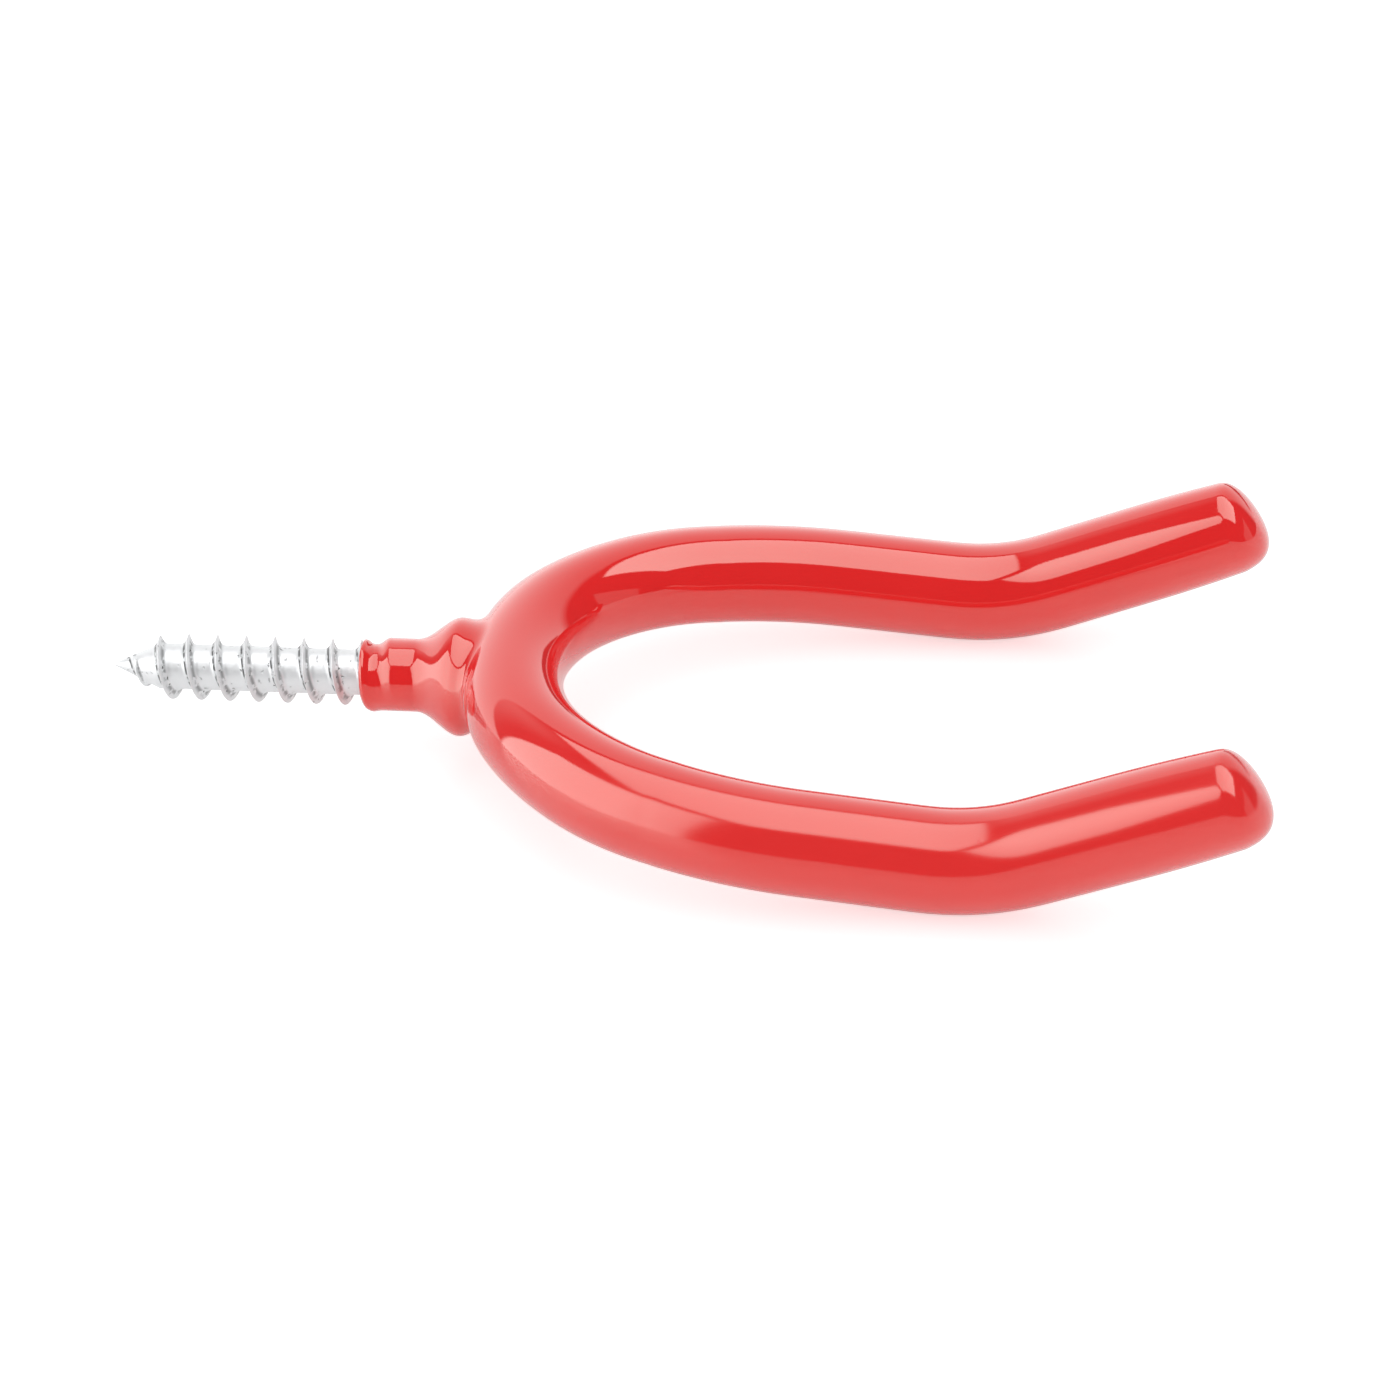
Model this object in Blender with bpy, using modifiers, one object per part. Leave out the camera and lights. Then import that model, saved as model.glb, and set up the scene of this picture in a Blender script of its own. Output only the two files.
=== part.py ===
"""Screw-in storage hook: a wood screw welded to a two-armed fork, dipped in soft red vinyl.

The frame's origin is on the screw's axis, at the edge of the vinyl, where the hook stops
against the wall. +X points out of the wall, +Z is up, and the two arms lie at +Y and -Y.
"""

import math

import bmesh
import bpy
import numpy as np
from mathutils import Matrix

MM = 0.001

# Wood screw, a coarse thread on a quarter-inch shank
SCREW_REACH = 25.0 * MM
POINT_LENGTH = 4.8 * MM
ROOT_RADIUS = 2.2 * MM
CREST_RADIUS = 3.2 * MM
THREAD_PITCH = 2.84 * MM
THREAD_PHASE = -0.87 * MM
THREAD_START = 0.4 * MM
THREAD_RISE = 4.4 * MM
THREAD_SWELL = 1.4
TOOTH_FOOT = 0.62 * MM
TOOTH_WAIST = 0.26 * MM
TOOTH_WAIST_RADIUS = 2.55 * MM
TOOTH_CREST = 0.07 * MM
RUNOUT_START = 1.0 * MM
RUNOUT_LENGTH = 1.8 * MM
SHANK_RADIUS = 2.95 * MM
HEAD_FACE = 9.9 * MM
HEAD_RADIUS = 5.0 * MM
HEAD_FLARE = math.radians(37.0)
RIM_ROUND = 1.0 * MM

# Weld between the screw's head and the back of the fork
WELD_THICKNESS = 1.35 * MM
WELD_RADIUS = 3.4 * MM
WELD_WRAP = 0.75 * MM

# Fork, one round rod bent in plan and then kicked up at both ends
ROD_RADIUS = 4.0 * MM
FORK_RISE = 1.17 * MM
FORK_DROOP = math.radians(5.73)
BACK_BEND_RADIUS = 22.4 * MM
BACK_BEND_ANGLE = math.radians(69.4)
ARM_BEND_RADIUS = 43.55 * MM
ARM_SPLAY = math.radians(0.88)
ARM_STRAIGHT = 11.1 * MM
KICK_RADIUS = 21.8 * MM
KICK_ANGLE = math.radians(26.3)
TIP_STRAIGHT = 18.6 * MM
END_CHAMFER = 0.4 * MM

# Vinyl, thick on the fork, thin on the screw, and drawn out to a web round the weld
VINYL_ON_FORK = 0.86 * MM
VINYL_ON_SCREW = 0.48 * MM
VINYL_ON_WELD = 1.2 * MM
WEB_START = math.radians(65.0)
WEB_THROAT = 2.6 * MM
WEB_SETBACK = 1.5 * MM

# End of the vinyl on each arm: its length, its reach past the steel, and its hanging drip
CAP_LENGTH = 4.85 * MM
CAP_OVERHANG = 3.5 * MM
CAP_SQUARENESS = 2.8
CAP_POINT = 0.8
DRIP_SAG = 1.35 * MM
DRIP_BEND = 4.0
DRIP_END = 0.995

# Free space between the vinyl and the steel, and between the steel pieces
CLEARANCE = 0.25 * MM

# Radius at which the thread's rib stands inside the screw's core, as a share of the core's,
# and that of a crest that has died out
FOOT_SHARE = 0.9
SUNK_CREST_SHARE = 0.95

# Facets
ARC_STEP = math.radians(8.0)
TURNED_STEPS = 20
RIM_STEPS = 4
CAP_STATIONS = 6
CAP_CROWDING = 0.7
SHARP_ANGLE = math.radians(40.0)
WELD_DISTANCE = 0.01 * MM

FIRST_TOOTH = THREAD_START + TOOTH_FOOT - SCREW_REACH
RUNOUT_END = RUNOUT_START + RUNOUT_LENGTH
RIM_MIDDLE = HEAD_FACE - RIM_ROUND
WELD_END = HEAD_FACE + WELD_THICKNESS + WELD_WRAP
FORK_BACK = HEAD_FACE + WELD_THICKNESS + ROD_RADIUS
COAT_RADIUS = ROD_RADIUS + VINYL_ON_FORK
WEB_RADIUS = WELD_RADIUS + VINYL_ON_WELD
WEB_END = FORK_BACK - WEB_SETBACK

# Turned shapes are drawn about their own Z axis, which this turns onto the screw's axis
ALONG_SCREW = Matrix(((0, 0, 1, 0), (1, 0, 0, 0), (0, 1, 0, 0), (0, 0, 0, 1)))


def clear_scene():
    """Remove every object, so that the file holds only the hook."""
    for old in list(bpy.data.objects):
        bpy.data.objects.remove(old, do_unlink=True)


def make_collection(name):
    collection = bpy.data.collections.new(name)
    bpy.context.scene.collection.children.link(collection)
    return collection


def make_material(name, colour, roughness, metallic):
    material = bpy.data.materials.new(name)
    material.use_nodes = True
    shader = material.node_tree.nodes["Principled BSDF"]
    shader.inputs["Base Color"].default_value = (*colour, 1.0)
    shader.inputs["Roughness"].default_value = roughness
    shader.inputs["Metallic"].default_value = metallic
    material.diffuse_color = (*colour, 1.0)
    return material


def make_cutter(obj):
    """Mark a shape that only cuts or joins others, so that it isn't a piece of the hook."""
    obj.hide_render = True
    obj.display_type = 'WIRE'
    return obj


def combine(target, other, operation):
    """Join a shape to the target, or cut it out of it, with a live Boolean."""
    boolean = target.modifiers.new(f"{operation.lower()} {other.name}", 'BOOLEAN')
    boolean.object = other
    boolean.operation = operation
    boolean.solver = 'EXACT'


def baked(obj, collection):
    """Replace an object by a mesh of what it shows, with loose caps welded."""
    name, place = obj.name, obj.matrix_world.copy()
    graph = bpy.context.evaluated_depsgraph_get()
    mesh = bpy.data.meshes.new_from_object(obj.evaluated_get(graph))
    bpy.data.objects.remove(obj, do_unlink=True)
    shape = bmesh.new()
    shape.from_mesh(mesh)
    bmesh.ops.remove_doubles(shape, verts=shape.verts, dist=WELD_DISTANCE)
    shape.to_mesh(mesh)
    shape.free()
    mesh.shade_smooth()
    mesh.set_sharp_from_angle(angle=SHARP_ANGLE)
    result = bpy.data.objects.new(name, mesh)
    result.matrix_world = place
    collection.objects.link(result)
    return result


def outline_object(name, points, closed, collection):
    """An object of joined edges in its own XZ plane, from pairs of distance along and radius."""
    mesh = bpy.data.meshes.new(name)
    edges = [(k, k + 1) for k in range(len(points) - 1)]
    if closed:
        edges.append((len(points) - 1, 0))
    mesh.from_pydata([(radius, 0.0, along) for along, radius in points], edges, [])
    obj = bpy.data.objects.new(name, mesh)
    obj.matrix_world = ALONG_SCREW
    collection.objects.link(obj)
    return obj


def turned(name, outline, collection):
    """Turn an outline, given from the wall side outwards, about the screw's axis."""
    obj = outline_object(name, outline[::-1], False, collection)
    screw = obj.modifiers.new("turn", 'SCREW')
    screw.steps = screw.render_steps = TURNED_STEPS
    screw.use_merge_vertices = True
    screw.merge_threshold = WELD_DISTANCE
    screw.use_smooth_shade = True
    return obj


def shank_line(grow=0.0, rim_end=0.0):
    """The screw's side from its thread root to its head, swollen by grow.

    The head flares at a set angle into its round rim, which is followed to the angle rim_end,
    counted from the axis: zero is where the rim meets the flat face.
    """
    turn = np.linspace(math.pi / 2 + HEAD_FLARE, rim_end, RIM_STEPS + 1)
    rim_along = RIM_MIDDLE + (RIM_ROUND + grow) * np.cos(turn)
    rim_radius = HEAD_RADIUS - RIM_ROUND + (RIM_ROUND + grow) * np.sin(turn)
    flare_start = rim_along[0] - (rim_radius[0] - SHANK_RADIUS - grow) / math.tan(HEAD_FLARE)
    return [(RUNOUT_START, ROOT_RADIUS + grow), (RUNOUT_END, SHANK_RADIUS + grow),
            (flare_start, SHANK_RADIUS + grow), *zip(rim_along, rim_radius)]


def core_radius(along):
    """Radius of the screw without its thread, at a distance along the axis."""
    side = [(-SCREW_REACH, 0.0), (POINT_LENGTH - SCREW_REACH, ROOT_RADIUS), *shank_line()]
    return np.interp(along, [x for x, _ in side], [r for _, r in side])


def crest_radius(along):
    """The thread's crest: it rises from the point, runs level and dies out into the shank."""
    part_way = np.clip((along - FIRST_TOOTH) / THREAD_RISE, 0.0, 1.0)
    rising = CREST_RADIUS * (1.0 - (1.0 - part_way) ** THREAD_SWELL)
    fall = CREST_RADIUS - FOOT_SHARE * SHANK_RADIUS
    dying = CREST_RADIUS - fall * (along - RUNOUT_START) / RUNOUT_LENGTH
    crest = np.minimum(rising, dying)
    return np.maximum(crest, SUNK_CREST_SHARE * core_radius(along))


def vertex_places(mesh):
    """The mesh's vertices as an array of rows of X, Y and Z."""
    place = np.empty(len(mesh.vertices) * 3)
    mesh.vertices.foreach_get("co", place)
    return place.reshape(-1, 3)


def close_ends(mesh):
    """Fill a tube's open ends and point its faces outwards."""
    shape = bmesh.new()
    shape.from_mesh(mesh)
    bmesh.ops.holes_fill(shape, edges=[edge for edge in shape.edges if edge.is_boundary])
    bmesh.ops.recalc_face_normals(shape, faces=shape.faces)
    if shape.calc_volume(signed=True) < 0.0:
        bmesh.ops.reverse_faces(shape, faces=shape.faces)
    shape.to_mesh(mesh)
    shape.free()


def thread_rib(name, start, end, grow, collection):
    """The thread from start to end as a rib that stands on the screw's core, swollen by grow.

    The full tooth's section is carried along a helix that starts mid-facet. Each ring of it
    is then drawn in or out, so that its foot stays in the core and its crest follows the
    thread's rise and runout.
    """
    foot_radius = FOOT_SHARE * ROOT_RADIUS
    side = [(TOOTH_FOOT, foot_radius), (TOOTH_WAIST, TOOTH_WAIST_RADIUS), (TOOTH_CREST, CREST_RADIUS)]
    facets_in = math.floor((start - THREAD_PHASE) / THREAD_PITCH * TURNED_STEPS) + 0.5
    middle = THREAD_PHASE + facets_in * THREAD_PITCH / TURNED_STEPS
    loop = [(middle - half - grow, radius) for half, radius in side]
    loop += [(middle + half + grow, radius) for half, radius in side[::-1]]
    rib = outline_object(name, loop, True, collection)
    rib.matrix_world = ALONG_SCREW @ Matrix.Rotation(facets_in * 2.0 * math.pi / TURNED_STEPS, 4, 'Z')
    helix = rib.modifiers.new("helix", 'SCREW')
    helix.screw_offset = THREAD_PITCH
    helix.iterations = math.ceil((end - start) / THREAD_PITCH)
    helix.steps = helix.render_steps = TURNED_STEPS
    rib = baked(rib, collection)

    place = vertex_places(rib.data)
    full = np.hypot(place[:, 0], place[:, 1])
    height = (full - foot_radius) / (CREST_RADIUS - foot_radius)
    foot = FOOT_SHARE * core_radius(place[:, 2])
    radius = foot + height * (crest_radius(place[:, 2]) - foot) + grow
    place[:, :2] *= (radius / full)[:, None]
    rib.data.vertices.foreach_set("co", place.ravel())
    close_ends(rib.data)
    return rib


def plan_arc(start, heading, sweep, radius):
    """Points along an arc in plan, after its start. Headings turn from +Y towards +X."""
    steps = max(1, math.ceil(abs(sweep) / ARC_STEP))
    turn = heading + sweep * np.arange(1, steps + 1) / steps
    return start + radius * np.c_[math.cos(heading) - np.cos(turn), np.sin(turn) - math.sin(heading)]


def arm_line():
    """Centre of the +Y arm, from the back of the fork to the rod's end, and its last direction."""
    level = math.pi / 2 - ARM_SPLAY
    back = plan_arc(np.zeros(2), 0.0, BACK_BEND_ANGLE, BACK_BEND_RADIUS)
    side = plan_arc(back[-1], BACK_BEND_ANGLE, level - BACK_BEND_ANGLE, ARM_BEND_RADIUS)
    ahead = np.array([math.sin(level), math.cos(level)])
    plan = np.vstack([np.zeros(2), back, side, side[-1] + ahead * ARM_STRAIGHT])
    line = np.c_[FORK_BACK + plan[:, 0] * math.cos(FORK_DROOP), plan[:, 1],
                 FORK_RISE - plan[:, 0] * math.sin(FORK_DROOP)]

    steps = max(1, math.ceil(KICK_ANGLE / ARC_STEP))
    climb = -FORK_DROOP + KICK_ANGLE * np.arange(1, steps + 1) / steps
    run = KICK_RADIUS * (np.sin(climb) + math.sin(FORK_DROOP))
    rise = KICK_RADIUS * (math.cos(FORK_DROOP) - np.cos(climb))
    kick = line[-1] + np.c_[run * ahead[0], run * ahead[1], rise]
    slope = KICK_ANGLE - FORK_DROOP
    outward = np.array([*(ahead * math.cos(slope)), math.sin(slope)])
    return np.vstack([line, kick, kick[-1] + outward * TIP_STRAIGHT]), outward


def both_arms(arm):
    """Carry the +Y arm's points round the back of the fork to the -Y arm."""
    return np.vstack([arm[:0:-1] * (1, -1, 1), arm])


def tube(name, line, radii, collection):
    """A round rod along a line of points, whose radius may change from point to point.

    It has as many sides as a turned shape: a curve has twice its bevel resolution plus four.
    """
    curve = bpy.data.curves.new(name, 'CURVE')
    curve.dimensions = '3D'
    curve.bevel_depth = 1.0
    curve.bevel_resolution = TURNED_STEPS // 2 - 2
    curve.use_fill_caps = True
    spline = curve.splines.new('POLY')
    spline.points.add(len(line) - 1)
    for point, place, radius in zip(spline.points, line, radii):
        point.co = (*place, 1.0)
        point.radius = radius
    obj = bpy.data.objects.new(name, curve)
    collection.objects.link(obj)
    return baked(obj, collection)


def swollen_screw(name, grow, turns_bare, rim_end, tail, cutters):
    """The screw's shape inside the vinyl and for some turns before it, swollen by grow.

    Its head's rim is followed to the angle rim_end, and the tail's points then close it.
    """
    wall_side = -(turns_bare + 1.0) * THREAD_PITCH
    form = turned(name, [(wall_side, 0.0), (wall_side, ROOT_RADIUS + grow),
                         *shank_line(grow, rim_end), *tail], cutters)
    rib = thread_rib(f"{name}_thread", -turns_bare * THREAD_PITCH, RUNOUT_END, grow, cutters)
    combine(form, rib, 'UNION')
    form = baked(form, cutters)
    bpy.data.objects.remove(rib, do_unlink=True)
    return make_cutter(form)


def make_screw(pieces, cutters):
    """Zinc-plated wood screw: point, coarse thread, plain shank and countersunk head."""
    outline = [(-SCREW_REACH, 0.0), (POINT_LENGTH - SCREW_REACH, ROOT_RADIUS),
               *shank_line(), (HEAD_FACE, 0.0)]
    screw = turned("wood_screw", outline, pieces)
    rib = thread_rib("screw_thread", FIRST_TOOTH, RUNOUT_END, 0.0, cutters)
    combine(screw, make_cutter(rib), 'UNION')
    screw.data.materials.append(make_material("zinc_plated_steel", (0.72, 0.73, 0.74), 0.25, 1.0))
    return screw


def make_fork(pieces):
    """Bent steel rod, cut square and chamfered at both ends."""
    arm, outward = arm_line()
    line = both_arms(np.vstack([arm[:-1], arm[-1] - outward * END_CHAMFER, arm[-1]]))
    radii = np.full(len(line), ROD_RADIUS)
    radii[[0, -1]] -= END_CHAMFER
    rod = tube("fork_rod", line, radii, pieces)
    rod.data.materials.append(make_material("bare_steel", (0.42, 0.42, 0.43), 0.4, 1.0))
    return rod


def make_fork_clearance(cutters):
    """The space that the rod takes up inside the vinyl and beside the weld."""
    arm, outward = arm_line()
    arm[-1] += outward * CLEARANCE
    line = both_arms(arm)
    return make_cutter(tube("fork_clearance", line, np.full(len(line), ROD_RADIUS + CLEARANCE), cutters))


def make_weld(pieces, fork_clearance):
    """Weld that fills the gap between the flat head and the round back of the fork."""
    start = HEAD_FACE + CLEARANCE
    outline = [(start, 0.0), (start, WELD_RADIUS), (WELD_END, WELD_RADIUS), (WELD_END, 0.0)]
    weld = turned("weld_bead", outline, pieces)
    combine(weld, fork_clearance, 'DIFFERENCE')
    weld.data.materials.append(make_material("weld_steel", (0.3, 0.29, 0.28), 0.6, 1.0))
    return weld


def dipped_line():
    """Centre line and radii of the vinyl on the fork, closing to a drip beyond each rod end."""
    arm, outward = arm_line()
    part_way = np.append(np.linspace(0.0, 1.0, CAP_STATIONS + 1)[:-1] ** CAP_CROWDING, DRIP_END)
    cap = arm[-1] + np.outer(CAP_OVERHANG - CAP_LENGTH * (1.0 - part_way), outward)
    arm = np.vstack([arm[:-1], cap])
    radii = np.full(len(arm), COAT_RADIUS)
    radii[-len(cap):] *= (1.0 - part_way ** CAP_SQUARENESS) ** CAP_POINT
    return both_arms(arm), np.append(radii[:0:-1], radii)


def sag_drips(coat):
    """Slide the end of each arm's vinyl to the underside, more and more towards the drip."""
    place = vertex_places(coat.data)
    arm, outward = arm_line()
    for side in (1.0, -1.0):
        mirror = np.array([1.0, side, 1.0])
        past_start = (place - arm[-1] * mirror) @ (outward * mirror) + CAP_LENGTH - CAP_OVERHANG
        part_way = np.clip(past_start / CAP_LENGTH, 0.0, 1.0)
        part_way[place[:, 1] * side < 0.0] = 0.0
        down = np.array([outward[2], 0.0, -math.hypot(outward[0], outward[1])])
        place += np.outer(part_way ** DRIP_BEND * DRIP_SAG, down)
    coat.data.vertices.foreach_set("co", place.ravel())


def make_coat(pieces, cutters, fork_clearance):
    """Vinyl skin over the fork, the weld, the head and the last turn of the thread."""
    coat = tube("vinyl_coat", *dipped_line(), pieces)
    sag_drips(coat)
    web = [(WELD_END, WEB_RADIUS), (WEB_END, WEB_THROAT), (WEB_END, 0.0)]
    film = swollen_screw("screw_film", VINYL_ON_SCREW, 1.0, WEB_START, web, cutters)
    combine(coat, film, 'UNION')

    combine(coat, fork_clearance, 'DIFFERENCE')
    face = [(HEAD_FACE + CLEARANCE, 0.0)]
    bore = swollen_screw("screw_clearance", CLEARANCE, 1.5, 0.0, face, cutters)
    combine(coat, bore, 'DIFFERENCE')
    pocket = turned("weld_clearance", [(RIM_MIDDLE, 0.0), (RIM_MIDDLE, WELD_RADIUS + CLEARANCE),
                                       (WELD_END + CLEARANCE, WELD_RADIUS + CLEARANCE),
                                       (WELD_END + CLEARANCE, 0.0)], cutters)
    combine(coat, make_cutter(pocket), 'DIFFERENCE')

    beyond = 2.0 * HEAD_RADIUS
    bare = turned("bare_screw_cut", [(-SCREW_REACH, 0.0), (-SCREW_REACH, beyond),
                                     (0.0, beyond), (0.0, 0.0)], cutters)
    combine(coat, make_cutter(bare), 'DIFFERENCE')
    coat.data.materials.append(make_material("red_vinyl", (0.74, 0.02, 0.03), 0.12, 0.0))
    return coat


clear_scene()
hook = make_collection("storage_hook")
tools = make_collection("cutters")
make_screw(hook, tools)
make_fork(hook)
rod_space = make_fork_clearance(tools)
make_weld(hook, rod_space)
make_coat(hook, tools, rod_space)
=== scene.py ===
import math

import bmesh
import bpy
import numpy as np
from mathutils import Matrix, Vector


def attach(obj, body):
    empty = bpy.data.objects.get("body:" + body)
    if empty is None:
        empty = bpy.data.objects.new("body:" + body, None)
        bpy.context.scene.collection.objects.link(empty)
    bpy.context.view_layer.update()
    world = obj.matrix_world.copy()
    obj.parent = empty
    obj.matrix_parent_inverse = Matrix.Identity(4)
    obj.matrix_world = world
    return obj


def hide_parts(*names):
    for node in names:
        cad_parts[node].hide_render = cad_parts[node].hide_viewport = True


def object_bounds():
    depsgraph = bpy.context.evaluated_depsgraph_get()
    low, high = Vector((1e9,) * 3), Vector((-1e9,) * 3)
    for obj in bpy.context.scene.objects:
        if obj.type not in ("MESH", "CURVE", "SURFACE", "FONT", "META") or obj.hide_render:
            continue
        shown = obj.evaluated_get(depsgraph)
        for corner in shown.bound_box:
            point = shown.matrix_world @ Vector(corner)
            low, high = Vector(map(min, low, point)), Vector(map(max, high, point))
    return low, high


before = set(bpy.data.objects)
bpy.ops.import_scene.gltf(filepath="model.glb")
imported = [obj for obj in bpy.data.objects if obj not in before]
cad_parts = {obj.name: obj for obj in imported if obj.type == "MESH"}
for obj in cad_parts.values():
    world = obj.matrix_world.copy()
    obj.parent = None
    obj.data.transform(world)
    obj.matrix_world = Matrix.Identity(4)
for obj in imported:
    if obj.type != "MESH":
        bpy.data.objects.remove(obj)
cad_box = [list(corner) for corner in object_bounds()]


# Wood screw. Cold-formed carbon steel with a coarse right-hand thread on a gimlet point, zinc
# plated bright. Its flat head is welded to the back of the fork, and the thread's last turn
# runs on under the vinyl.
MM = 0.001
SCREW_REACH = 25.0 * MM
POINT_LENGTH = 4.8 * MM
ROOT_RADIUS = 2.2 * MM
CREST_RADIUS = 3.2 * MM
THREAD_PITCH = 2.84 * MM
THREAD_PHASE = -0.87 * MM
THREAD_START = 1.02 * MM
THREAD_RISE = 4.4 * MM
THREAD_SWELL = 1.4
TOOTH_FOOT = 0.74 * MM
TOOTH_LAND = 0.03 * MM
TOOTH_HOLLOW = 2.3
RUNOUT_START = 1.0 * MM
RUNOUT_END = 2.8 * MM
SHANK_RADIUS = 2.95 * MM
HEAD_FACE = 9.9 * MM
HEAD_RADIUS = 5.0 * MM
HEAD_FLARE_START = 6.6 * MM
HEAD_RIM_START = 8.5 * MM
SCREW_SIDES = 84
ROWS_PER_TURN = 24
CREST_CROWDING = 0.6
MERGE = 0.0001 * MM
ZINC = (0.82, 0.83, 0.84)
ZINC_ROUGHNESS = (0.22, 0.55)
# Dark colour of the specks and of the painted shade lines along the thread.
DUST_AND_SHADE = (0.04, 0.04, 0.04)
SPECK_CROWD_WIDTH = 0.24
SPECK_SHARE_AWAY = 0.25
# Painted shade lines along the thread, placed by turns of the helix from a crest.
SHADE_LINE_BEFORE = 0.85
SHADE_LINE_AFTER = 0.11
SHADE_LINE_AFTER_SHARE = 0.6
SHADE_LINE_WIDTH = 0.075
SHADE_LINE_BREAKS = (0.42, 0.52)
SPECK_EDGE = (0.16, 0.30)
SPECK_RAGGED = 1.2 * MM


def smooth_step(low, high, value):
    """0 below low, 1 above high, and 3t^2 - 2t^3 of the way t between them."""
    t = np.clip((value - low) / (high - low), 0.0, 1.0)
    return t * t * (3.0 - 2.0 * t)


def screw_radius(along, turn):
    """Steel's radius at a place along the axis and a turn about it, from +Y towards +Z.

    A core in straight stretches, plus the thread: the distance d to the nearest crest line,
    which climbs one pitch a turn, gives the height (1 - d/foot)^hollow of the full tooth.
    """
    core = np.interp(along, [-SCREW_REACH, POINT_LENGTH - SCREW_REACH, RUNOUT_START, RUNOUT_END,
                             HEAD_FLARE_START, HEAD_RIM_START, HEAD_FACE],
                     [0.0, ROOT_RADIUS, ROOT_RADIUS, SHANK_RADIUS, SHANK_RADIUS,
                      HEAD_RADIUS, HEAD_RADIUS])
    part_way = np.clip((along + SCREW_REACH - THREAD_START) / THREAD_RISE, 0.0, 1.0)
    crest = CREST_RADIUS * (1.0 - (1.0 - part_way) ** THREAD_SWELL)
    crest = crest + (core - crest) * smooth_step(RUNOUT_START, RUNOUT_END + THREAD_PITCH, along)
    from_crest = (along - THREAD_PHASE) / THREAD_PITCH - turn
    distance = np.abs(from_crest - np.round(from_crest)) * THREAD_PITCH
    slope = np.clip(1.0 - (distance - TOOTH_LAND) / (TOOTH_FOOT - TOOTH_LAND), 0.0, 1.0)
    return core + np.maximum(crest - core, 0.0) * slope ** TOOTH_HOLLOW


def ring_faces(rows, columns, climb=0):
    """Quads between rows of a grid whose columns close on themselves.

    Where the rows climb, as on a thread, the last column meets the first that many rows on.
    """
    row, column = np.meshgrid(np.arange(rows - 1), np.arange(columns), indexing="ij")
    last = column == columns - 1
    kept = ~last | (row + climb < rows - 1)
    row, column, last = row[kept], column[kept], last[kept]
    here = row * columns + column
    beside = (row + climb * last) * columns + (column + 1) % columns
    return np.stack([here, beside, beside + columns, here + columns], axis=1)


def new_piece(name, points, faces, material):
    """A smooth mesh object at the origin. Points that fall together are merged, and loose ones go."""
    mesh = bpy.data.meshes.new(name)
    mesh.from_pydata(points.reshape(-1, 3), [], faces)
    shape = bmesh.new()
    shape.from_mesh(mesh)
    bmesh.ops.remove_doubles(shape, verts=shape.verts, dist=MERGE)
    loose = [vert for vert in shape.verts if not vert.link_faces]
    bmesh.ops.delete(shape, geom=loose, context='VERTS')
    shape.to_mesh(mesh)
    shape.free()
    mesh.shade_smooth()
    mesh.materials.append(material)
    piece = bpy.data.objects.new(name, mesh)
    bpy.context.scene.collection.objects.link(piece)
    return piece


def new_material(name, colour, roughness, metallic=0.0):
    """A Principled material with its plain values on the shader's own sockets."""
    material = bpy.data.materials.new(name)
    material.use_nodes = True
    shader = material.node_tree.nodes["Principled BSDF"]
    shader.inputs["Base Color"].default_value = (*colour, 1.0)
    shader.inputs["Roughness"].default_value = roughness
    shader.inputs["Metallic"].default_value = metallic
    return material, material.node_tree, shader


def add_node(tree, kind, **values):
    """A node of a tree, with its settings and its inputs by name."""
    node = tree.nodes.new(kind)
    for key, value in values.items():
        if key in node.inputs:
            node.inputs[key].default_value = value
        else:
            setattr(node, key, value)
    return node


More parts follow.
